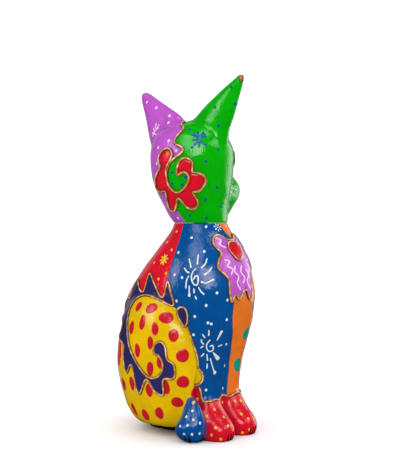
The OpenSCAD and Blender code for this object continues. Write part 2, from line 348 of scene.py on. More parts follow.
def stroke(skin, colour, place, line, start, end=None, steps=4):
    """A brush line in the tangent plane of a place, with a radius at each end."""
    q, near = flat_chart(skin, place)
    line = spline(line, steps=steps) if len(line) > 2 else np.array(line, float)
    radii = np.linspace(start, start if end is None else end, len(line))
    skin.add(colour, np.where(near, segments(q, line, radii), OUTSIDE))


def strokes(skin, colour, place, lines, start, end):
    for line in lines:
        stroke(skin, colour, place, line, start, end)


def dot(skin, colour, place, at, radius):
    """A round dot in the tangent plane of a place."""
    stroke(skin, colour, place, [at, (at[0] + 0.2, at[1])], radius)


def inside_outline(q, outline):
    """Signed distance to a closed outline in a flat chart."""
    closed = np.vstack((outline, outline[:1]))
    gap = -segments(q, closed, np.zeros(len(closed)))
    crossings = np.zeros(len(q), int)
    for a, b in zip(closed[:-1], closed[1:]):
        spans = (a[1] > q[:, 1]) != (b[1] > q[:, 1])
        rise = b[1] - a[1] if b[1] != a[1] else 1e-9
        crossings += spans & (q[:, 0] < (b[0] - a[0]) * (q[:, 1] - a[1]) / rise + a[0])
    return np.where(crossings % 2 == 1, gap, -gap)


def by_height(rows, z):
    """Smooth value at a height from [height, value] rows."""
    line = spline(sorted(rows), steps=10)
    return np.interp(z, line[:, 0], line[:, 1])


# ---- the body's skin ---------------------------------------------------------

HIND_PAWS = ["right_hind_paw", "left_hind_paw"]
BODY_NODES = ["torso", "right_haunch", "left_haunch", "right_front_paw", "left_front_paw"] + HIND_PAWS


def body_softness(points):
    """Sanded freely, but crisp at the neck seam, under the base and in the leg creases."""
    weight = step(np.abs(points[:, 2] - SEAM), 0.6, 5.0) * step(points[:, 2], 0.5, 3.5)
    gaps = np.stack([distance_to(points, [n]) for n in BODY_NODES], 1)
    second = np.sort(gaps, 1)[:, 1]
    below_chest = 1 - step(points[:, 2], 96, 108)
    crease = (1 - step(second, 0.8, 3.2)) * below_chest
    paws = gaps[:, [BODY_NODES.index(n) for n in HIND_PAWS]].min(1)
    return weight * (1 - 0.78 * crease) * (0.3 + 0.7 * step(paws, 0.3, 2.5))


def set_back(side):
    """How far behind the right side's places the same ones lie on a side."""
    return LEFT_BACK if side > 0 else 0


def slanted(points, side):
    """How far points lie towards the chest, seen half from the right or the left."""
    return -side * 0.643 * points[:, 0] - 0.766 * (points[:, 1] - set_back(side))


body = Skin(BODY_NODES, 1.0, 46, body_softness)
seat = body.points.copy()
seat[:, 2] = np.minimum(seat[:, 2], SEAM - SEAM_GAP)
body.moved(seat)
body_angle = np.degrees(np.arctan2(body.points[:, 0], -(body.points[:, 1] - NECK_Y)))
body_radius = np.hypot(body.points[:, 0], body.points[:, 1] - NECK_Y)


def around(azimuth, z):
    """Place on the body seen from an angle, level with the neck axis."""
    way = np.array(compass(azimuth))
    return body.hit(np.array((0, NECK_Y, z)) + way * 200, -way)


def flank(y, z, side=-1):
    """Place on the right (-1) or left (1) flank."""
    return body.hit((side * 200, y + set_back(side), z), (-side, 0, 0))


def wedge(edge):
    """Millimetres around the body past an edge angle."""
    gap = (body_angle - edge + 180) % 360 - 180
    return np.radians(gap) * body_radius


# Colour fields meet at these angles, by height
FRONT_EDGE = [
    [30, 9], [38, 8.5], [51, 7.8], [69, 2.4], [83.4, -5.5], [97.4, -12.7], [112.7, -14.1], [122, -14],
    [138, -10], [150, -2], [161, 8], [169, -1], [178, -8],
]
BACK_EDGE = [[0, -92], [110, -90], [132, -90], [154, -86], [178, -90]]
LEFT_EDGE = [[0, 100], [90, 104], [130, 98], [160, 104], [178, 100]]

z = body.points[:, 2]
front = wedge(by_height(FRONT_EDGE, z))
back = wedge(by_height(BACK_EDGE, z))
left = wedge(by_height(LEFT_EDGE, z))
ahead = np.where(np.abs(body_angle) < 150, front, -np.abs(front))
body.add("blue", np.where(body_angle < 60, np.minimum(-ahead, back), OUTSIDE))
body.add("red", np.where(body_angle < 0, -back, left))

# Distance to each carved block, for what stops at a block's edge
block_gap = {n: distance_to(body.points, [n]) for n in BODY_NODES}


def on_block(name):
    """Signed distance, positive on one carved block's own surface."""
    others = np.min([block_gap[n] for n in BODY_NODES if n != name], 0)
    return np.minimum(others, 6.0) - block_gap[name]


# Yellow of the right haunch, in the (y, z) plane
YELLOW_EDGE = [
    (24, 110), (14, 116), (3, 116.5), (-10, 112), (-22, 108.5), (-33, 103), (-60, 99), (-70, 60),
    (-60, 20), (-60, -20), (70, -20), (70, 52), (34, 56), (33, 96),
]
# Front end of the haunch's colour, by height, seen half from the side
HAUNCH_EDGE = [
    [-10, 10], [14, 10], [22, 9], [30, 6.4], [34.6, 5.2], [38.9, 4.7], [42.6, 8.7], [46.2, 12.7],
    [52, 14.3], [56, 12.4], [58.6, 9.9], [63.6, 10.3], [71.9, 8.7], [81.7, 5.5], [91.4, 2.3],
    [99.5, -0.2], [110, -6],
]
HAUNCH_MIN_X = 16.0

# Red drop between the haunch and the foreleg, in the same slanted view
DROP = [
    (8.7, 43.5), (11.5, 42.3), (12.2, 38), (13.4, 32.5), (17, 28.5), (22, 26), (22, 8), (10, 8), (9, 22),
    (6.5, 30), (5.3, 34.6), (4.7, 38.9), (6.3, 42),
]
for side in (-1, 1):
    chart = np.stack((body.points[:, 1] - set_back(side), z), 1)
    area = inside_outline(chart, spline(YELLOW_EDGE, True, 4))
    reach = side * body.points[:, 0] - HAUNCH_MIN_X
    slant = slanted(body.points, side)
    colour = "yellow" if side < 0 else "violet"
    back_edge = reach - 2.5 * np.sin(z / 8)
    field = -6 * np.logaddexp(-area / 6, -back_edge / 6)
    body.add(colour, np.minimum(field, by_height(HAUNCH_EDGE, z) - slant))
    drop = inside_outline(np.stack((slant, z), 1), spline(DROP, True, 4))
    body.add("paw_red", np.minimum(np.minimum(drop, reach), -20 - chart[:, 0]))

# Red front paws run up to a wavy line, and into a drop beside each haunch
PAW_LINE = [
    [-60, 31], [-34, 31], [-27, 37], [-25.6, 33.5], [-24.2, 30.2], [-20.6, 31.9], [-17, 32.6],
    [-13.4, 32.3], [-11.3, 31.2], [-7.5, 32.3], [-4.3, 33.6], [2, 31.9], [5, 32.1], [7.5, 32.9],
    [10.9, 33.9], [16.3, 34.7], [20, 33.3], [25, 34.3], [34, 33], [60, 33],
]
paw_top = by_height(PAW_LINE, body.points[:, 0])
ahead_of_leg = -body.points[:, 1] - 31 - LEFT_BACK * (body.points[:, 0] < -60)
sides = 29.5 - np.abs(body.points[:, 0])
body.add("paw_red", np.minimum(np.minimum(paw_top - z, ahead_of_leg), sides))
body.add("paw_blue", on_block("right_hind_paw"))
body.add("paw_green", on_block("left_hind_paw"))

# ---- the body's dots, spots and suns -----------------------------------------

WHITE_DOTS = [
    (-39, 173), (-65, 164), (-45, 153), (-81, 152), (-81, 134), (-71, 132), (-77, 113), (-44, 110),
    (-22, 114), (-56, 101), (-21, 98), (-42, 96), (-58, 86), (-15, 77), (-7, 58), (-6, 39), (-42, 40),
    (-28, 54), (-62, 118), (-33, 120),
]
dabs(body, "white", [around(*p) for p in WHITE_DOTS], 1.1, 1.25)

SUN_HIGH = [
    [(1.1, 19.2), (1, 15.6), (0.8, 11.3)], [(8.3, 16), (7.3, 11.7), (4.2, 8.2)],
    [(12.5, 8.9), (10.3, 5.4), (7.1, 2.9)], [(5.2, -3.3), (8.4, -4.1), (11.4, -2.5), (14.1, -0.9)],
    [(2.5, -7.6), (4.4, -10.8), (6.8, -12.9)], [(-1.4, -8.8), (-1.1, -12)], [(-0.2, -14.7), (0.7, -16.8)],
    [(-5.2, -6), (-5.3, -10.4), (-4.9, -14.7)], [(-6, 1.4), (-7.7, -2.5), (-8.1, -8)],
    [(-9.8, 8.2), (-8.1, 5.4), (-5.7, 4.2)], [(-6.2, 15.6), (-5.3, 12.5), (-4.3, 8.5)],
    [
        (-0.1, 7.4), (-2.6, 5), (-3.6, 1.4), (-3.3, -2.1), (-1, -5.6), (1.4, -5.3), (2, -1.7), (1.5, 1.4),
        (-0.5, 1.1), (-1.9, -1.3),
    ],
]
SUN_LOW = [
    [(-1.5, 13.2), (-1.3, 8.8)], [(-6.3, 9.4), (-4.4, 6.9)], [(-6.9, 5), (-6.6, 2.8), (-5, 1.3)],
    [(-6.9, -1.9), (-5.4, -0.6)], [(-6.3, -9.4), (-4.4, -6.9)], [(-1.9, -7.5), (-1, -12.6)],
    [(-1, -15.6), (-1, -19.5)], [(1.3, -11.3), (3.4, -17.5), (6, -24.5)], [(7.5, -1.5), (10.7, -0.6)],
    [(0, 5), (-2.5, 1.3), (-2.2, -2.4), (0, -5), (3.1, -3.8), (2.5, 0), (0.4, -0.6)],
]
sun_high = around(-55, 132)
sun_low = around(-39, 77)
strokes(body, "white", sun_high, SUN_HIGH, 0.5, 0.62)
strokes(body, "white", sun_low, SUN_LOW, 0.5, 0.58)
stroke(body, "white", sun_low, [(3.5, -6.3), (8.2, -12.3)], 0.5, 1.7)
stroke(body, "white", sun_low, [(9.4, 11.3), (6, 4.4)], 1.15, 0.45)
for at in [(13.8, -1), (5, -3.4), (7.2, 2.9)]:
    dot(body, "white", sun_high, at, 0.95)
for at in [(6, -24.5), (0, 18.5)]:
    dot(body, "white", sun_low, at, 1.1)


def daisy(skin, colour, place, petals, inner, outer, radius, turn=0.0):
    """Short petals dabbed around a middle dot."""
    for k in range(petals):
        a = math.radians(turn + 360 * k / petals)
        near = (inner * math.cos(a), inner * math.sin(a))
        far = (outer * math.cos(a), outer * math.sin(a))
        stroke(skin, colour, place, [near, far], radius * 0.7, radius)
    dot(skin, colour, place, (0, 0), radius * 1.1)


daisy(body, "white", around(-14, 172.5), 7, 2.0, 3.4, 0.6, 10)

YELLOW_DOTS = [
    (-102, 169), (-114, 160), (-94, 154), (-120, 143), (-94, 135), (-104, 130), (-135, 168), (-150, 155),
    (-142, 138), (-165, 142), (178, 160), (160, 148), (172, 126), (-158, 122), (150, 168), (138, 156),
    (128, 140), (146, 128), (118, 162), (112, 150),
]
dabs(body, "gold_dot", [around(*p) for p in YELLOW_DOTS], 1.15, 1.3)
for azimuth, height in [(-103, 146), (-174, 108), (122, 122)]:
    place = around(azimuth, height)
    daisy(body, "gold_dot", place, 8, 1.4, 4.3, 0.75, 12)
    stroke(body, "gold_dot", place, [(0, 1.5), (0, -2.5)], 1.9, 1.2)

# [y, z, half width, half height, turn] of the red spots on the right haunch
RED_SPOTS = [
    [11.1, 106.9, 3.0, 4.2, -20], [-3.3, 106.3, 5.2, 4.1, 22], [-17.3, 99.3, 6.1, 4.5, 12],
    [3.8, 94.4, 3.2, 5.6, -6], [16.6, 89.3, 3.0, 5.4, -4], [-9.2, 90.1, 2.8, 5.3, 4],
    [-24.1, 85.3, 4.3, 4.7, -20], [-5.5, 78.5, 2.9, 4.8, 6], [-31, 69.2, 4.9, 5.5, 0],
    [8.3, 71.2, 2.9, 5.4, 4], [-14.5, 63, 2.0, 4.3, 8], [-5.9, 57.5, 3.3, 5.4, 6],
    [-31.4, 48, 4.8, 5, -8], [16.2, 43, 3.1, 5.4, 0], [-19.7, 43.4, 3.1, 5.2, 8],
    [-3.8, 39.6, 3.5, 5.4, 6], [-26.5, 31.3, 4.6, 4.2, -8], [19.3, 20, 3.0, 5.4, 6],
    [5.5, 17.1, 4.0, 5.1, 2], [-10.5, 20.8, 3.7, 5.5, 0], [30, 40, 3.6, 5.2, 0], [36, 22, 3.6, 5.2, 0],
    [30, 7, 3.6, 4.6, 0], [40, 60, 3.4, 4.4, 0],
]
for k, (y, height, *shape) in enumerate(RED_SPOTS):
    oval(body, "spot", flank(y, height), *shape, 0.07, k)
dabs(body, "lilac_dot", [flank(*spot[:2], 1) for spot in RED_SPOTS], 1.7, 1.9)

TEAL_SPOTS = [
    (27, 108), (24, 83.5), (26, 57), (64, 96), (60, 68), (55, 128), (78, 146), (88, 122), (56, 158),
]
dabs(body, "teal", [around(*p) for p in TEAL_SPOTS], 5.6, 5.9)

HIND_DOTS = [
    (-41.1, -41.8, 26.7), (-44.7, -37.3, 22.2), (-42.7, -44.4, 19.9), (-38.3, -47.7, 16.9),
    (-46.2, -41.1, 15.7), (-47.4, -33.8, 14.3), (-44.2, -44.5, 8.3), (-38.7, -48, 8.5), (-46.7, -38.1, 8),
]
FRONT_DOTS = [
    (-19.4, -47.4, 25), (-1.9, -41, 26.9), (-26.7, -45, 20.3), (-14.9, -53.3, 18.8), (-16.3, -59.1, 12.8),
    (-26.3, -53.6, 11.9), (-28, -50.8, 5.9), (-23.7, -57.3, 2.6), (-26.4, -34.6, 32.6), (-4, -44, 20.4),
]
FAR_DOTS = [
    (9.4, -45.9, 27), (16, -46.8, 26.7), (8.3, -53.3, 17.5), (11.8, -58, 13.9), (18.8, -58.3, 13.4),
    (10.2, -60.7, 4.9), (5.8, -56.2, 2.6), (24, -52, 18), (27, -50, 8),
]
dabs(body, "white", [body.near(p) for p in HIND_DOTS], 1.05, 1.15)
dabs(body, "gold_dot", [body.near((-x, y + PAW_BACK, height)) for x, y, height in HIND_DOTS], 1.1, 1.2)
dabs(body, "gold_dot", [body.near(p) for p in FRONT_DOTS + FAR_DOTS], 1.2, 1.3)

CLAWS = [
    (-18, -61), (-14.5, -61.5), (-11, -61), (11, -61), (14.5, -61.5), (18, -61), (-47, -38), (-45.5, -42),
    (-34, -47.5), (-31, -47), (33, -30), (36.5, -31), (45.5, -26),
]
for x, y in CLAWS:
    stroke(body, "claw", body.near((x, y, 3)), [(0, -4), (0.2, 3)], 1.05, 0.5)

# ---- the head's skin ---------------------------------------------------------

HEAD_NODES = ["head", "right_ear", "left_ear"]


def head_softness(points):
    """Sanded most where the ears grow out of the skull, least at their tips and on the muzzle."""
    rise = points[:, 2] - SEAM
    outer = step(np.abs(points[:, 1] - NECK_Y), 24, 36)
    ears = step(rise, 56, 66) * (1 - step(rise, 80, 98)) * (1 - outer)
    muzzle = step(points[:, 0], 22, 28) * (1 - step(rise, 45, 55))
    weight = (0.4 + 0.6 * ears) * (1 - 0.4 * muzzle)
    weight = weight * (1 - 0.45 * outer * step(rise, 50, 60))
    return weight * step(np.abs(rise), 0.6, 5.0)


def running_clear(points):
    """Head points kept off the dowel, its tip and the seat that the head turns on."""
    points = points.copy()
    points[:, 2] = np.maximum(points[:, 2], SEAM + SEAM_GAP)
    from_axis = points[:, :2] - (0, NECK_Y)
    radius = np.linalg.norm(from_axis, axis=1)
    bore = (radius < BORE_RADIUS + 2) & (points[:, 2] < DOWEL_TOP + 4)
    tip = bore & (points[:, 2] > DOWEL_TOP - 2.5)
    points[tip, 2] = np.maximum(points[tip, 2], DOWEL_TOP + 0.5)
    wall = bore & (radius < BORE_RADIUS) & (~tip | (radius > BORE_RADIUS - 1.2))
    points[wall, :2] = (0, NECK_Y) + from_axis[wall] * (BORE_RADIUS / radius[wall])[:, None]
    return points


head = Skin(HEAD_NODES, 0.9, 75, head_softness)
head.moved(running_clear(head.points))
local = head_local(head.points)
head_angle = np.degrees(np.arctan2(local[:, 0] - SKULL_X, local[:, 1] - SKULL_Y))
head_radius = np.hypot(local[:, 0] - SKULL_X, local[:, 1] - SKULL_Y)
head_rise = local[:, 2] - SEAM
head_chart = np.stack((local[:, 0], head_rise), 1)


def skull(angle, height):
    """Place on the head at an angle from its back, positive towards the cat's left."""
    a = math.radians(angle)
    out = np.array((math.sin(a), math.cos(a), 0))
    middle = np.array((SKULL_X, SKULL_Y, SEAM + height))
    start = head_world(*(middle + out * 150))
    return head.hit(start, head_world(*middle) - start)


def seen(x, height, front=False):
    """Place on the head or an ear, met straight from behind or from the front."""
    start = head_world(x, -150 if front else 150, SEAM + height)
    return head.hit(start, head_world(x, 0, SEAM + height) - start)


HEAD_LINE = [
    (-10, 84), (-13, 81), (-25.5, 77), (-21, 72.5), (-15, 68), (-16, 64), (-24, 62), (-29, 59),
    (-24, 55.5), (-17, 52.5), (-9, 49), (-3.5, 43), (-1.5, 37), (-1.5, 32), (-7, 27),
]
PURPLE_EDGE = [[h, b] for b, h in HEAD_LINE] + [[20, -6], [10, -5], [1, -16], [-10, -18], [100, -17]]
FACE_LINE = [(176, 82), (183, 78), (176, 70), (184, 63), (180, 52), (180, 38)]


def turned(edge):
    return (head_angle - edge + 180) % 360 - 180


face_edge = [[h, b] for b, h in FACE_LINE] + [[0, 180], [120, 178]]
from_back = turned(by_height(PURPLE_EDGE, head_rise))
from_face = -turned(by_height(face_edge, head_rise))
purple = np.where(np.abs(from_back) < np.abs(from_face), from_back, from_face)
purple = np.radians(purple) * head_radius
crown = local[:, 0] + 2.0
blend = step(head_rise, 80, 88)
head.add("purple", purple * (1 - blend) + crown * blend)

BLUE_DOTS = [
    (-36, 76), (-40, 61), (-76, 60), (-58, 50), (-95, 47), (-79, 29), (-118, 27), (-63, 19), (-100, 14),
    (-34, 6), (-71, 4), (-31, 37), (-25, 31), (-11, 41), (-9, 32), (-130, 12), (-152, 70),
]
PINK_DOTS = [
    (-4, 67), (16, 62), (-18, 58.5), (18, 49), (42, 20), (3, 4), (45, 45), (62, 62), (70, 34), (58, 6),
    (92, 50), (98, 22), (120, 36), (112, 66), (35, 74), (134, 14), (84, 8), (152, 72),
]
RIGHT_EAR_DOTS = [(-45, 109), (-46, 96), (-30, 94), (-33, 79)]
LEFT_EAR_DOTS = [(48, 105), (36, 99), (21, 91), (20, 85)]
dabs(head, "blue", [skull(*p) for p in BLUE_DOTS], 1.25, 1.35)
dabs(head, "pink", [skull(*p) for p in PINK_DOTS], 1.2, 1.5, -25)
for from_front in (False, True):
    dabs(head, "blue", [seen(*p, from_front) for p in RIGHT_EAR_DOTS], 1.3, 1.4)
    dabs(head, "pink", [seen(*p, from_front) for p in LEFT_EAR_DOTS], 1.2, 1.5, -25)

BLUE_SPRIG = [
    [(-3.3, 5.2), (-1.4, 2.4)], [(0, 6.1), (0, 2.4)], [(4.2, 6.1), (2.4, 3.3)], [(5.8, 2.4), (2.4, 1.9)],
    [(-4.4, -1.4), (-1.4, -0.9)], [(-3.3, -5.2), (-0.9, -2.4)], [(0, -6.6), (0, -3.3)],
    [(6.3, -5.6), (1.4, -2.4)], [(-1.4, 1), (1.4, -1.9)], [(-5, 3.4), (-2.2, 1.6)],
    [(5.2, 4.4), (2.4, 1.2)],
]
PALE_SPRIG = [
    [(-3.9, -4.4), (0, 0), (4.4, 4.9)], [(0.6, 6.2), (-0.4, 1.9)], [(-2.6, 2.2), (-1.4, -0.8)],
    [(3.6, 1.9), (0.8, 0.8)], [(-4.4, -1.6), (-2.4, -2.4)], [(1.2, -3.4), (-1.8, -2.2)],
]
strokes(head, "blue", skull(-49, 68), BLUE_SPRIG, 0.95, 0.7)
strokes(head, "blue", seen(-28, 88, True), BLUE_SPRIG, 0.9, 0.7)
strokes(head, "pink", seen(34, 79), PALE_SPRIG, 0.6, 0.55)
strokes(head, "pink", skull(78, 46), PALE_SPRIG, 0.6, 0.55)

# Ears' inner faces, eyes, nose and mouth
EAR_RIGHT = [(-48, 111), (-38, 104), (-27, 93), (-15, 80), (-22, 74), (-33, 76), (-38, 88)]
EAR_LEFT = [(49, 103), (40, 99), (28, 89), (18, 77), (24, 70), (35, 72), (42, 84)]
in_front = -local[:, 1] + 7.5
for colour, outline in (("ear_orange", EAR_RIGHT), ("ear_red", EAR_LEFT)):
    head.add(colour, np.minimum(inside_outline(head_chart, spline(outline, True, 5)), in_front))

EYE_OUTLINE = [
    (-13.5, -2.5), (-9, 3.8), (-2, 7.2), (6, 6.8), (12, 3.4), (16.5, 0), (10.5, -4.6), (3, -6.8),
    (-6, -6.2),
]
for side in (-1, 1):
    place = skull(side * EYE_ANGLE, EYE_RISE)
    q, near = flat_chart(head, place)
    q = q * (-side, 1)
    lids = inside_outline(q, spline(EYE_OUTLINE, True, 5))
    head.add("cream", np.where(near, lids, OUTSIDE))
    iris = 5.6 - np.hypot(q[:, 0] + 0.5, (q[:, 1] - 0.3) * 0.9)
    head.add("iris", np.where(near, np.minimum(iris, lids), OUTSIDE))
    slit = (1 - np.hypot((q[:, 0] + 0.5) / 2.0, (q[:, 1] - 0.3) / 5.2)) * 2.0
    head.add("black", np.where(near, np.minimum(slit, lids), OUTSIDE))
NOSE = [(-5, 36.5), (0, 37.5), (5, 36.5), (3, 33), (0, 31), (-3, 33)]
muzzle_front = -local[:, 1] - 24
head.add("black", np.minimum(inside_outline(head_chart, spline(NOSE, True, 4)), muzzle_front))
for side in (-1, 1):
    mouth = [(0, 0), (side * 0.3, -5.5), (side * 4.5, -8.5), (side * 9.5, -7.2), (side * 12.5, -3.8)]
    stroke(head, "mouth", seen(0, 31, True), mouth, 0.7, 0.6)
    roots = [(7, 28.5), (10.5, 30.5), (10, 26.5)]
    dabs(head, "black", [seen(side * x, height, True) for x, height in roots], 0.75, 0.75)
    for k in range(3):
        out = [(0, 0), (-side * 6, 1 - 2.2 * k), (-side * 12, 2.5 - 4.4 * k)]
        stroke(head, "white", skull(side * 133, 33 - 1.5 * k), out, 0.5, 0.35)

# Bare wood where the right ear's tip is chipped
tip = head_local(np.array([seen(-52.5, 117)[0]]))[0]
from_tip = np.linalg.norm((local - tip) * (1, 1, 0.55), axis=1)
head.add("chip", 1.9 - from_tip + 0.7 * ripple(head.points, 1.6, 5))

# Worn places along the base, painted shade down the crease where the front legs meet, and painted shade on
# the base under the torso
edge_noise = ripple(body.points, 3.2, 7) + 0.6 * ripple(body.points, 1.3, 8)
worn = 1.6 - z + 2.2 * edge_noise
body.add("chip", np.where(z < 8, worn - 1.9, OUTSIDE))
# Painted shade: a thin dark brown line down the crease between the front legs
painted_crease_shade = 0.32 - np.abs(front) + 0.15 * edge_noise
body.add("crease", np.minimum(np.minimum(painted_crease_shade, 112 - z), z - 37))
# Painted shade: dark brown on the torso's base low down and behind the front paws, where the haunches hide
# it
under = np.minimum(6.5 - z, on_block("torso") + 1.0)
body.add("shade", np.minimum(under, body.points[:, 1] + 24))

# ---- raised ornaments --------------------------------------------------------


def raised(nodes, voxel, passes, base, most):
    """Rounded relief pieces, standing at most some height above the skin that they lie on."""
    skin = Skin(nodes, voxel, passes)
    for i, p in enumerate(skin.points):
        spot, normal = base.tree.find_nearest(Vector(p))[:2]
        above = (Vector(p) - spot).dot(normal)
        if above > most:
            skin.points[i] = np.array(Vector(p) + normal * (most - above))
    skin.moved(skin.points)
    return skin


def flower_place(across, up):
    """Place on the skull under a point of the flower's plane, seen from behind."""
    turn = math.radians(FLOWER_TURN)
    right = np.array((-math.cos(turn), -math.sin(turn), 0))
    out = np.array((-math.sin(turn), math.cos(turn), 0))
    middle = np.array((SKULL_X, SKULL_Y, SEAM + FLOWER_HEIGHT)) + right * across + np.array((0, 0, up))
    start = head_world(*(middle + out * 120))
    return head.hit(start, head_world(*middle) - start)


# Six joined petals curled round a green middle, seen from behind the head
FLOWER_OUTLINE = [
    (-6, 19.8), (-7.2, 23.8), (-11, 25.6), (-16, 23.2), (-19, 19), (-19.3, 14.8), (-17.4, 10.5),
    (-21, 6.6), (-24.2, 1.2), (-24.9, -4.1), (-23.4, -7.6), (-19.4, -9), (-14.6, -8.4), (-14, -13.4),
    (-14, -19.3), (-12.4, -23.6), (-9.1, -25), (-5.6, -20), (-4.5, -16), (-2.9, -14), (-0.3, -16.7),
    (2.2, -20.7), (6.3, -23.3), (10.8, -21.3), (11.9, -16.7), (10.1, -12), (8.6, -9.4), (12, -9.4),
    (15.8, -7.4), (19.3, -1.4), (19.2, 1.9), (16.6, 4.6), (13.2, 5.6), (9.9, 5.9), (10.6, 9.9),
    (10.3, 14.5), (6.2, 17.2), (1.8, 16.2), (-1, 11.9), (-2.2, 7.2), (-1.8, 3.2), (-0.2, 4.6), (3.1, 6.2),
    (6.2, 5.2), (7.3, 0.6), (5.1, -4.1), (1.2, -8), (-3.3, -10), (-6.7, -8.7), (-10.3, -4.1),
    (-11.5, 1.9), (-11.9, 6.6), (-10.7, 11.9), (-7.8, 15.8),
]


class Relief(Skin):
    """A low dome of paste inside an outline, closed underneath."""

    SLOPE = 2.8
    ROOT = 0.8

    def __init__(self, outline, place, high, pitch):
        outline = np.array(spline(outline, True, 5))
        across = np.arange(outline[:, 0].min() - pitch, outline[:, 0].max() + pitch, pitch)
        up = np.arange(outline[:, 1].min() - pitch, outline[:, 1].max() + pitch, pitch)
        grid = np.array([(a, b) for b in up for a in across])
        depth = inside_outline(grid, outline)
        wide = len(across)
        cells = [j * wide + i for j in range(len(up) - 1) for i in range(wide - 1)]
        quads = [(c, c + 1, c + 1 + wide, c + wide) for c in cells]
        quads = [q for q in quads if min(depth[i] for i in q) > -0.1]
        used = sorted({i for q in quads for i in q})
        number = {v: k for k, v in enumerate(used)}
        count = len(used)
        spots = [place(*grid[i]) for i in used]
        feet = np.array([s[0] for s in spots])
        normals = np.array([s[1] for s in spots])
        dome = high * (1 - (1 - np.clip(depth[used] / self.SLOPE, 0, 1)) ** 2)
        top = [tuple(number[i] for i in q) for q in quads]
        edges = {(f[k], f[(k + 1) % 4]) for f in top for k in range(4)}
        rim = [(a, b) for a, b in sorted(edges) if (b, a) not in edges]
        self.faces = list(top)
        self.faces += [tuple(i + count for i in reversed(f)) for f in top]
        self.faces += [(b, a, a + count, b + count) for a, b in rim]
        self.paint = {}
        self.moved(np.vstack((feet + normals * dome[:, None], feet - normals * self.ROOT)))


petals = Relief(FLOWER_OUTLINE, flower_place, 1.1, 0.6 * COARSE)
chest = raised(["chest_flower"], 0.55, 8, body, 1.1)
heart = raised(["chest_heart"], 0.5, 8, body, 1.7)
flames = {side: raised([side + "_haunch_flame"], 0.6, 8, body, 0.7) for side in ("right", "left")}


SQUIGGLES = [
    [(-14, 164), (-10.5, 162), (-13.5, 158.5), (-9.5, 156)],
    [(-15, 146), (-11, 145), (-14.5, 141), (-10, 139), (-12.5, 134.5)],
    [(-6.5, 141), (-8.5, 136.5), (-5, 132.5), (-8, 127.5), (-5.5, 122)],
    [(1.5, 141), (-1, 136), (2.5, 131.5), (-0.5, 127)], [(13, 163), (9.5, 160.5), (12.5, 157), (9, 154)],
    [(14.5, 146), (10, 143.5), (13.5, 139.5), (9.5, 135.5), (11, 130)],
    [(6, 138), (8.5, 133), (5, 128.5), (8, 122)],
]
chart = chest.points[:, [0, 2]]
for line in SQUIGGLES:
    points = spline(line, steps=5)
    chest.add("pink", segments(chart, points, np.full(len(points), 0.62)))

# ---- gold lines squeezed on as a thick cord of paint -------------------------


def run_along(path):
    """Length along a path at each of its points."""
    return np.concatenate(([0], np.cumsum(np.linalg.norm(np.diff(path, axis=0), axis=1))))


class Cords:
    """Many raised lines on one skin, kept as one mesh."""

    SIDES = 9
    WIDE = 1.12
    HIGH = 0.86

    def __init__(self, name, skin):
        self.name = name
        self.skin = skin
        self.points = []
        self.faces = []
        self.ridge = []

    def lay(self, path, radius, closed=False, lift=0.15):
        """Squeezes out one line over some places, its middle lifted off the skin."""
        path = np.array(path, float)
        gaps = np.linalg.norm(np.diff(path, axis=0), axis=1)
        path = path[np.concatenate(([True], gaps > 1e-4))]
        if closed:
            path = np.vstack((path, path[:1]))
        along = run_along(path)
        count = max(6, int(along[-1] / COARSE))
        even = np.linspace(0, along[-1], count, endpoint=not closed)
        path = np.stack([np.interp(even, along, path[:, k]) for k in range(3)], 1)
        for _ in range(3):
            path = np.array([self.skin.near(p)[0] for p in path])
            if closed:
                path = 0.5 * path + 0.25 * (np.roll(path, 1, 0) + np.roll(path, -1, 0))
            else:
                path[1:-1] = 0.5 * path[1:-1] + 0.25 * (path[:-2] + path[2:])
        spots = [self.skin.near(p) for p in path]
        normals = np.array([s[1] for s in spots])
        path = np.array([s[0] for s in spots])
        for _ in range(3):
            if closed:
                normals = normals + np.roll(normals, 1, 0) + np.roll(normals, -1, 0)
            else:
                normals[1:-1] = normals[1:-1] + normals[:-2] + normals[2:]
            normals /= np.linalg.norm(normals, axis=1)[:, None]
        if closed:
            ahead = np.roll(path, -1, 0) - np.roll(path, 1, 0)
        else:
            ahead = np.gradient(path, axis=0)
        ahead /= np.maximum(np.linalg.norm(ahead, axis=1), 1e-9)[:, None]
        across = np.cross(ahead, normals)
        across /= np.maximum(np.linalg.norm(across, axis=1), 1e-9)[:, None]
        start = sum(len(p) for p in self.points)
        n = len(path)
        fat = np.array([1 + 0.2 * noise.noise(Vector(p) / 6.0) for p in path])
        if not closed:
            ends = np.minimum(np.arange(n), np.arange(n)[::-1])
            fat = fat * np.where(ends < 2, 0.35 + 0.4 * ends, 1)
        rings = []
        ridge = []
        for k in range(self.SIDES):
            a = 2 * math.pi * k / self.SIDES
            out = math.cos(a) * self.WIDE * across + math.sin(a) * self.HIGH * normals
            rings.append(path + normals * lift + out * (radius * fat)[:, None])
            ridge.append(np.full(n, math.sin(a)))
        self.points.append(np.stack(rings, 1).reshape(-1, 3))
        self.ridge.append(np.stack(ridge, 1).reshape(-1))
        for i in range(n if closed else n - 1):
            here = start + i * self.SIDES
            after = start + (i + 1) % n * self.SIDES
            for k in range(self.SIDES):
                m = (k + 1) % self.SIDES
                self.faces.append((here + k, here + m, after + m, after + k))
        if not closed:
            last = start + (n - 1) * self.SIDES
            self.faces.append(tuple(start + k for k in reversed(range(self.SIDES))))
            self.faces.append(tuple(last + k for k in range(self.SIDES)))

    def build(self):
        obj = new_object(self.name, np.concatenate(self.points), self.faces)
        write(obj.data, "ridge", np.concatenate(self.ridge))
        return obj


def chest_path(outline, steps):
    """A closed outline drawn on the chest from the front."""
    return [body.hit((x, -200, height), (0, 1, 0))[0] for x, height in spline(outline, True, steps)]


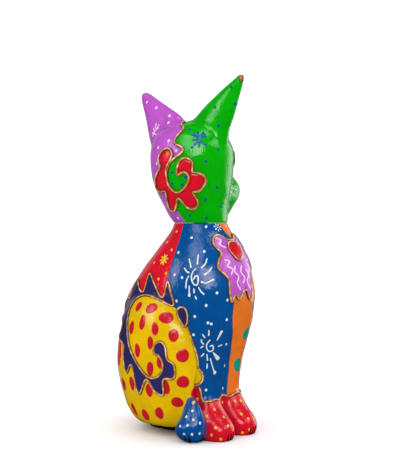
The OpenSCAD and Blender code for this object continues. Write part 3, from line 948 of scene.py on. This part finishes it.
CHEST_OUTLINE = [
    (-1, 161.5), (-4.5, 162), (-8, 165.5), (-12.5, 165), (-16.5, 161), (-17, 155.5), (-15, 151),
    (-19, 146), (-21, 139), (-17, 134), (-15, 129), (-16, 120), (-14, 112), (-11, 119), (-7, 114),
    (-2, 120), (3, 121), (7, 113), (10, 118), (11, 128), (15, 135), (20, 139), (19, 147), (15, 152),
    (18, 158), (15, 165), (9, 166), (5, 162),
]
HEART_OUTLINE = [(0, 160), (5, 159), (7.5, 153), (4, 147), (0, 145), (-4, 147), (-7.5, 153), (-5, 159)]
FLAME_BAND = [
    (-23, 109), (-21, 118), (-17, 129), (-14, 117), (-10, 116), (-3, 125), (6, 134), (9, 124), (11, 118),
    (18, 121), (25, 128), (31, 120), (31, 112), (37, 112), (43, 106), (37, 96), (31, 90), (36, 79),
    (26, 74), (26, 62), (22, 51), (14, 59), (8, 35), (-2, 49), (-9, 40), (-17, 37), (-18, 50), (-26, 51),
    (-26, 62), (-21, 66), (-19, 76), (-15, 80), (-10, 77), (-10, 70), (-14, 69), (-18, 61), (-15, 53),
    (-8, 50), (0, 53), (11, 64), (18, 74), (22, 88), (23, 101), (20, 110), (12, 115), (2, 116),
    (-10, 113),
]
FLAME_LOBE = [(-26, 101), (-26, 105.5), (-29, 108.5), (-33, 107.5), (-34.5, 102), (-33.5, 95), (-30.5, 92)]
# The gold line down the front of the right haunch, and round the red drop
HAUNCH_LINE = [
    (-36.8, -33.3, 92.6), (-36, -34, 89), (-34, -35.7, 81.7), (-31.1, -37.5, 71.9), (-29.1, -37.9, 63.6),
    (-28.6, -36.9, 58.6), (-27.2, -38.4, 57), (-25, -39.7, 52), (-25.5, -38, 46.2), (-30, -36.5, 42.6),
]
DROP_LINE = [
    (-27, -37, 42.5), (-25.7, -37.1, 41.2), (-24.6, -37.6, 36), (-24.2, -38.5, 32), (-23.4, -41.5, 29.3),
]
body_gold = Cords("gold_lines_body", body)
for side in (-1, 1):
    for outline in (FLAME_BAND, FLAME_LOBE):
        path = [flank(y, height, side)[0] for y, height in spline(outline, True, 5)]
        body_gold.lay(path, FLAME_CORD, True, 0.4)
    for line in (HAUNCH_LINE, DROP_LINE):
        path = [body.near((-side * x, y + set_back(side), height))[0] for x, y, height in line]
        body_gold.lay(spline(path), FINE_CORD)
paw_path = [body.near((x, -46 if abs(x) < 24 else -38, height))[0] for x, height in PAW_LINE[4:-2]]
body_gold.lay(spline(paw_path), FINE_CORD)
body_gold.lay(chest_path(CHEST_OUTLINE, 5), CHEST_CORD, True, 0.6)
heart_gold = Cords("gold_line_heart", body)
heart_gold.lay(chest_path(HEART_OUTLINE, 6), FINE_CORD, True, 1.3)

head_gold = Cords("gold_lines_head", head)
flower_path = [flower_place(*p)[0] for p in spline(FLOWER_OUTLINE, True, 5)]
head_gold.lay(flower_path, FLOWER_CORD, True, 0.85)
head_gold.lay([skull(*p)[0] for p in spline(HEAD_LINE, steps=5)], CROWN_CORD, lift=0.3)
head_gold.lay([skull(*p)[0] for p in spline(FACE_LINE, steps=6)], FACE_CORD)
for side in (-1, 1):
    spot, normal = skull(side * EYE_ANGLE, EYE_RISE)
    u, v = tangents(normal)
    rim = [spot + u * (-side * a) + v * b for a, b in spline(EYE_OUTLINE, True, 5)]
    head_gold.lay(rim, FLAME_CORD, True)

# ---- materials ---------------------------------------------------------------

# How much of its full colour the paint gives back, under the bright studio
PAINT = 0.62


def linear(code):
    """sRGB code such as 1A2B3C to a linear paint colour."""
    out = []
    for k in (0, 2, 4):
        c = int(code[k : k + 2], 16) / 255
        out.append(PAINT * (c / 12.92 if c <= 0.04045 else ((c + 0.055) / 1.055) ** 2.4))
    return (*out, 1.0)


PALETTE = {
    "green": "02B604",
    "purple": "C65AD0",
    "red": "E3122C",
    "blue": "00529A",
    "orange": "F97E26",
    "yellow": "F0C400",
    "navy": "2F2C69",
    "teal": "0F9F88",
    "violet": "B54FC9",
    "spot": "CE1A2C",
    "spot_rim": "DE6A1E",
    "gold_dot": "FFC529",
    "white": "F4F4F0",
    "pink": "FAD6F4",
    "lilac": "F6C9F2",
    "paw_green": "10A03A",
    "claw": "15110F",
    "cream": "F5E6B8",
    "iris": "E9A715",
    "wood": "A06A3C",
    # Dark brown of the painted shade under the base, and of the rims of the chips
    "dark": "33201A",
    # Dark brown of the painted shade in the crease between the front legs
    "crease": "8A4A3C",
    "gold": "BE8238",
    # Painted highlight and painted shade of the gold cords
    "gold_painted_highlight": "FFF0C0",
    "gold_painted_shade": "5C3014",
}


class Lacquer:
    """Glossy hand-painted wood: flat colours with raised dabs over each other."""

    def __init__(self, name, base, shade=0.10, gloss=0.16):
        self.material = bpy.data.materials.new(name)
        self.material.use_nodes = True
        self.tree = self.material.node_tree
        self.tree.nodes.clear()
        self.shade = shade
        self.gloss = gloss
        self.where = self.node("ShaderNodeTexCoord").outputs["Object"]
        self.colour = self.rgb(base)
        self.height = None

    def node(self, kind, **settings):
        made = self.tree.nodes.new(kind)
        for key, value in settings.items():
            setattr(made, key, value)
        return made

    def link(self, a, b):
        self.tree.links.new(a, b)

    def rgb(self, name):
        made = self.node("ShaderNodeRGB")
        made.outputs[0].default_value = linear(PALETTE[name])
        return made.outputs[0]

    def math(self, operation, a, b):
        made = self.node("ShaderNodeMath", operation=operation)
        for socket, value in zip(made.inputs, (a, b)):
            if isinstance(value, (int, float)):
                socket.default_value = value
            else:
                self.link(value, socket)
        return made.outputs[0]

    def ramp(self, value, low, high, to_low=0.0, to_high=1.0, smooth=False):
        made = self.node("ShaderNodeMapRange")
        made.interpolation_type = "SMOOTHSTEP" if smooth else "LINEAR"
        made.clamp = True
        self.link(value, made.inputs["Value"])
        made.inputs["From Min"].default_value = low
        made.inputs["From Max"].default_value = high
        made.inputs["To Min"].default_value = to_low
        made.inputs["To Max"].default_value = to_high
        return made.outputs[0]

    def noise(self, size, detail=3.0, stretch=(1, 1, 1), rough=0.55):
        """Noise whose grains are some millimetres across."""
        mapping = self.node("ShaderNodeMapping")
        self.link(self.where, mapping.inputs["Vector"])
        mapping.inputs["Scale"].default_value = stretch
        made = self.node("ShaderNodeTexNoise")
        self.link(mapping.outputs[0], made.inputs["Vector"])
        made.inputs["Scale"].default_value = 1.0 / (size * MM)
        made.inputs["Detail"].default_value = detail
        made.inputs["Roughness"].default_value = rough
        return made.outputs["Fac"]

    def mix(self, factor, a, b, blend="MIX"):
        made = self.node("ShaderNodeMix", data_type="RGBA", blend_type=blend)
        if isinstance(factor, (int, float)):
            made.inputs[0].default_value = factor
        else:
            self.link(factor, made.inputs[0])
        self.link(a, made.inputs[6])
        self.link(b, made.inputs[7])
        return made.outputs[2]

    def raise_by(self, amount):
        """Lays one more thickness of paint on the wood."""
        self.height = amount if self.height is None else self.math("ADD", self.height, amount)

    def layer(self, attribute, colour, rim=0.0, thick=0.0, edge=0.12):
        """Paints one colour where the attribute is positive, thick in millimetres."""
        source = self.node("ShaderNodeAttribute", attribute_name=attribute).outputs["Fac"]
        if rim:
            source = self.math("ADD", source, rim)
        mask = self.ramp(source, -edge, edge)
        self.colour = self.mix(mask, self.colour, self.rgb(colour))
        if thick:
            self.raise_by(self.ramp(source, -0.15, 0.9, 0.0, thick * MM, True))
        return mask

    def finish(self):
        """Adds the uneven tint, the brush marks and the lacquer's gloss."""
        shade = self.shade
        tint = self.ramp(self.noise(16, 2.0), 0.3, 0.7, 1 - shade, 1 + shade * 0.5)
        grain = self.noise(2.2, 4.0, (1, 1, 0.22))
        streak = self.ramp(grain, 0.3, 0.72, 1 - shade * 0.8, 1 + shade * 0.3)
        both = self.math("MULTIPLY", tint, streak)
        grey = self.node("ShaderNodeCombineColor")
        for k in range(3):
            self.link(both, grey.inputs[k])
        colour = self.mix(1.0, self.colour, grey.outputs[0], "MULTIPLY")
        brush = self.ramp(self.noise(1.5, 4.0, (1, 1, 0.3), 0.6), 0.2, 0.8, 0.0, 0.15 * MM)
        self.raise_by(brush)
        self.raise_by(self.ramp(self.noise(4.5, 2.0), 0.2, 0.8, 0.0, 0.16 * MM))
        bump = self.node("ShaderNodeBump")
        bump.inputs["Strength"].default_value = 0.75
        bump.inputs["Distance"].default_value = 1.0
        self.link(self.height, bump.inputs["Height"])
        shader = self.node("ShaderNodeBsdfPrincipled")
        self.link(colour, shader.inputs["Base Color"])
        rough = self.ramp(self.noise(3.0, 3.0), 0.3, 0.7, self.gloss + 0.14, self.gloss + 0.26)
        self.link(rough, shader.inputs["Roughness"])
        shader.inputs["Specular IOR Level"].default_value = 0.02
        shader.inputs["Coat Weight"].default_value = 1.0
        shader.inputs["Coat IOR"].default_value = 1.6
        shader.inputs["Coat Roughness"].default_value = 0.05
        self.link(bump.outputs[0], shader.inputs["Normal"])
        self.link(bump.outputs[0], shader.inputs["Coat Normal"])
        out = self.node("ShaderNodeOutputMaterial")
        self.link(shader.outputs[0], out.inputs["Surface"])
        return self.material


BODY_LAYERS = [
    ("red", "red", 0, 0),
    ("blue", "blue", 0, 0),
    # Painted shade in the crease between the front legs
    ("crease", "crease", 0, 0),
    ("yellow", "yellow", 0, 0),
    ("violet", "violet", 0, 0),
    ("paw_red", "red", 0, 0.1),
    ("paw_blue", "blue", 0, 0),
    ("paw_green", "paw_green", 0, 0),
    ("teal", "teal", 0, 0.1),
    ("spot", "spot_rim", 0.35, 0),
    ("spot", "spot", 0, 0.12),
    ("lilac_dot", "lilac", 0, 0.3),
    ("white", "white", 0, 0.35),
    ("gold_dot", "gold_dot", 0, 0.35),
    ("claw", "claw", 0, 0.1),
    # Painted shade on the base under the torso
    ("shade", "dark", 0, 0),
    ("chip", "dark", 0.5, 0),
    ("chip", "wood", 0, 0),
]
HEAD_LAYERS = [
    ("purple", "purple", 0, 0),
    ("ear_orange", "orange", 0, 0),
    ("ear_red", "red", 0, 0),
    ("blue", "blue", 0, 0.3),
    ("pink", "pink", 0, 0.3),
    ("cream", "cream", 0, 0),
    ("iris", "iris", 0, 0.1),
    ("black", "claw", 0, 0.1),
    ("mouth", "claw", 0, 0.1),
    ("white", "white", 0, 0.2),
    ("chip", "dark", 0.7, 0),
    ("chip", "wood", 0, 0),
]


def painted(name, base, layers):
    lacquer = Lacquer(name, base)
    for attribute, colour, rim, thick in layers:
        lacquer.layer(attribute, colour, rim, thick)
    return lacquer.finish()


def gold_paint():
    """Painted shade in dark gold low on each cord's flanks, and a painted highlight in pale cream along
    the ridge of each cord.
    """
    lacquer = Lacquer("gold_paint", "gold_painted_shade", 0.12, 0.12)
    ridge = lacquer.node("ShaderNodeAttribute", attribute_name="ridge").outputs["Fac"]
    speck = lacquer.ramp(lacquer.noise(4.5, 2.0), 0.3, 0.7, -0.16, 0.12)
    level = lacquer.math("ADD", ridge, speck)
    # Painted highlight in cream near each cord's crest, mid gold between, painted shade in dark gold below
    for colour, low, high in (("gold", 0.5, 0.82), ("gold_painted_highlight", 0.88, 1.05)):
        lacquer.colour = lacquer.mix(lacquer.ramp(level, low, high), lacquer.colour, lacquer.rgb(colour))
    return lacquer.finish()


# ---- pieces ------------------------------------------------------------------


def cut_out(skin, chosen):
    """Closed mesh from some of a skin's faces, with a hidden cap on each open edge."""
    faces = [f for f, use in zip(skin.faces, chosen) if use]
    used = sorted({i for f in faces for i in f})
    number = {v: k for k, v in enumerate(used)}
    faces = [tuple(number[i] for i in f) for f in faces]
    points = skin.points[used]
    sides = dict.fromkeys((a, b) for f in faces for a, b in zip(f, f[1:] + f[:1]))
    ahead = {}
    for a, b in sides:
        if (b, a) not in sides:
            ahead.setdefault(a, []).append(b)
    extra = []
    while ahead:
        first = min(ahead)
        loop = [first]
        after = None
        while after != first:
            here = loop[-1]
            after = ahead[here].pop()
            if not ahead[here]:
                del ahead[here]
            loop.append(after)
        centre = len(points) + len(extra)
        faces += [(b, a, centre) for a, b in zip(loop, loop[1:])]
        extra.append(points[loop[:-1]].mean(0))
    if extra:
        points = np.vstack((points, extra))
    return points, faces, np.array(used), len(extra)


def piece(name, skin, chosen, nodes, bone, material):
    points, faces, used, extra = cut_out(skin, chosen)
    obj = new_object(name, points, faces)
    normals = np.vstack((skin.normals[used], np.tile((0.0, 0, 1), (extra, 1))))
    obj.data.normals_split_custom_set_from_vertices(normals.tolist())
    for key, values in skin.paint.items():
        write(obj.data, key, np.concatenate((values[used], np.full(extra, OUTSIDE))))
    obj.data.materials.append(material)
    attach(obj, bone)
    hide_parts(*nodes)


def whole_piece(name, skin, node, bone, material):
    piece(name, skin, np.ones(len(skin.faces), bool), [node], bone, material)


def shares(skin, names):
    """Which carved block each face of a skin belongs to."""
    known = block_gap if skin is body else {n: distance_to(skin.points, [n]) for n in names}
    gaps = np.stack([known[n] for n in names], 1)
    owner = np.argmin(gaps, 1)
    return np.array([np.bincount(owner[list(f)], minlength=len(names)).argmax() for f in skin.faces])


body_material = painted("body_paint", "orange", BODY_LAYERS)
head_material = painted("head_paint", "green", HEAD_LAYERS)
for skin, names, bone, material in (
    (body, BODY_NODES, "torso", body_material),
    (head, HEAD_NODES, "head", head_material),
):
    owner = shares(skin, names)
    for k, node in enumerate(names):
        name = ("body" if node == "torso" else node) + "_skin"
        piece(name, skin, owner == k, [node], bone, material)

red_petal = painted("flower_red", "red", [])
whole_piece("head_flower_relief", petals, "head_flower", "head", red_petal)
chest_paint = painted("flower_purple", "purple", [("pink", "pink", 0, 0.25)])
whole_piece("chest_flower_relief", chest, "chest_flower", "torso", chest_paint)
whole_piece("chest_heart_relief", heart, "chest_heart", "torso", red_petal)
flame_paint = painted("flame_navy", "navy", [])
for side, skin in flames.items():
    node = side + "_haunch_flame"
    whole_piece(node + "_relief", skin, node, "torso", flame_paint)

gold = gold_paint()
for cords, bone in ((body_gold, "torso"), (heart_gold, "torso"), (head_gold, "head")):
    obj = cords.build()
    obj.data.materials.append(gold)
    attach(obj, bone)

# Tail: bands of the body's colours
tail = Skin(["tail"], 0.8, 14)
TAIL_LINE = [(17, 42), (31, 50), (46, 43), (57, 27), (60, 8), (56, -8), (51, -18)]
way = spline(TAIL_LINE, steps=12)
nearest = np.argmin(((tail.points[:, None, :2] - way[None]) ** 2).sum(2), 1)
along = run_along(way)[nearest]
TAIL_BANDS = [("red", 0, 20), ("blue", 36, 52), ("green", 68, 82), ("purple", 82, 200)]
wave = 1.6 * ripple(tail.points, 9.0, 4)
for colour, low, high in TAIL_BANDS:
    tail.add(colour, np.minimum(along - low, high - along) + wave)
TAIL_DOTS = 9
ridge = [way[int(k * (len(way) - 1) / TAIL_DOTS) + 3] for k in range(TAIL_DOTS)]
dabs(tail, "white", [tail.hit((x, y, 60), (0, 0, -1)) for x, y in ridge], 1.4, 1.4)
tail_layers = [(c, c, 0, 0) for c, _, _ in TAIL_BANDS] + [("white", "white", 0, 0.3)]
tail_material = painted("tail_paint", "orange", tail_layers)
whole_piece("tail_skin", tail, "tail", "torso", tail_material)

# Bare wood of the pegs and the dowel
bare_wood = Lacquer("bare_wood", "wood", 0.3, 0.4).finish()
for node in ("tail_peg", "neck_dowel", "right_ear_peg", "left_ear_peg"):
    NODES[node].data.materials.clear()
    NODES[node].data.materials.append(bare_wood)

# ---- studio ------------------------------------------------------------------


FLOOR_HALF = 6.0
FLOOR_WHITE = 0.97
WORLD_LIGHT = 1.3
LIT_HEIGHT = 0.15
# Name, azimuth, lift in degrees, distance, width, height and power of each soft box
SOFT_BOXES = [
    ("key", -74, 42, 1.3, 0.6, 1.0, 4.0),
    ("window", -44, 19, 1.3, 0.7, 0.4, 3.6),
    ("left", -117, 16, 1.3, 0.3, 0.55, 1.7),
    ("side", 75, 6, 1.6, 0.95, 1.0, 5.4),
    ("front", 20, 30, 1.3, 0.8, 0.35, 1.8),
    ("top", 30, 66, 1.3, 0.7, 0.5, 2.6),
    ("backdrop", 130, 12, 1.8, 3.2, 2.4, 7),
]


def floor():
    """White paper under the cat, which no lacquer reflects."""
    mesh = bpy.data.meshes.new("floor")
    s = FLOOR_HALF
    mesh.from_pydata([(-s, -s, 0), (s, -s, 0), (s, s, 0), (-s, s, 0)], [], [(0, 1, 2, 3)])
    obj = bpy.data.objects.new("floor", mesh)
    bpy.context.scene.collection.objects.link(obj)
    material = bpy.data.materials.new("floor")
    material.use_nodes = True
    shader = material.node_tree.nodes["Principled BSDF"]
    shader.inputs["Base Color"].default_value = (FLOOR_WHITE, FLOOR_WHITE, FLOOR_WHITE, 1)
    shader.inputs["Roughness"].default_value = 0.9
    shader.inputs["Specular IOR Level"].default_value = 0.0
    mesh.materials.append(material)
    obj.visible_glossy = False
    return obj


def soft_box(name, azimuth, lift, distance, wide, high, power, lit):
    """A box light aimed at the cat's middle, which lights what a collection holds."""
    data = bpy.data.lights.new(name, "AREA")
    data.shape = "RECTANGLE"
    data.size = wide
    data.size_y = high
    data.energy = power
    obj = bpy.data.objects.new(name, data)
    bpy.context.scene.collection.objects.link(obj)
    e = math.radians(lift)
    way = compass(azimuth) * math.cos(e) + Vector((0, 0, math.sin(e)))
    middle = Vector((0, 0, LIT_HEIGHT))
    obj.location = middle + way * distance
    obj.rotation_euler = (-way).to_track_quat("-Z", "Y").to_euler()
    obj.visible_camera = False
    obj.light_linking.receiver_collection = lit


def studio(ground):
    world = bpy.data.worlds.new("studio")
    bpy.context.scene.world = world
    world.use_nodes = True
    background = world.node_tree.nodes["Background"]
    background.inputs[0].default_value = (1, 1, 1, 1)
    background.inputs[1].default_value = WORLD_LIGHT
    world.cycles_visibility.glossy = False
    figure_only = bpy.data.collections.new("figure_only")
    figure_only.objects.link(ground)
    figure_only.collection_objects[0].light_linking.link_state = "EXCLUDE"
    for box in SOFT_BOXES:
        soft_box(*box, figure_only)
    bpy.context.scene.view_settings.view_transform = "Standard"


studio(floor())
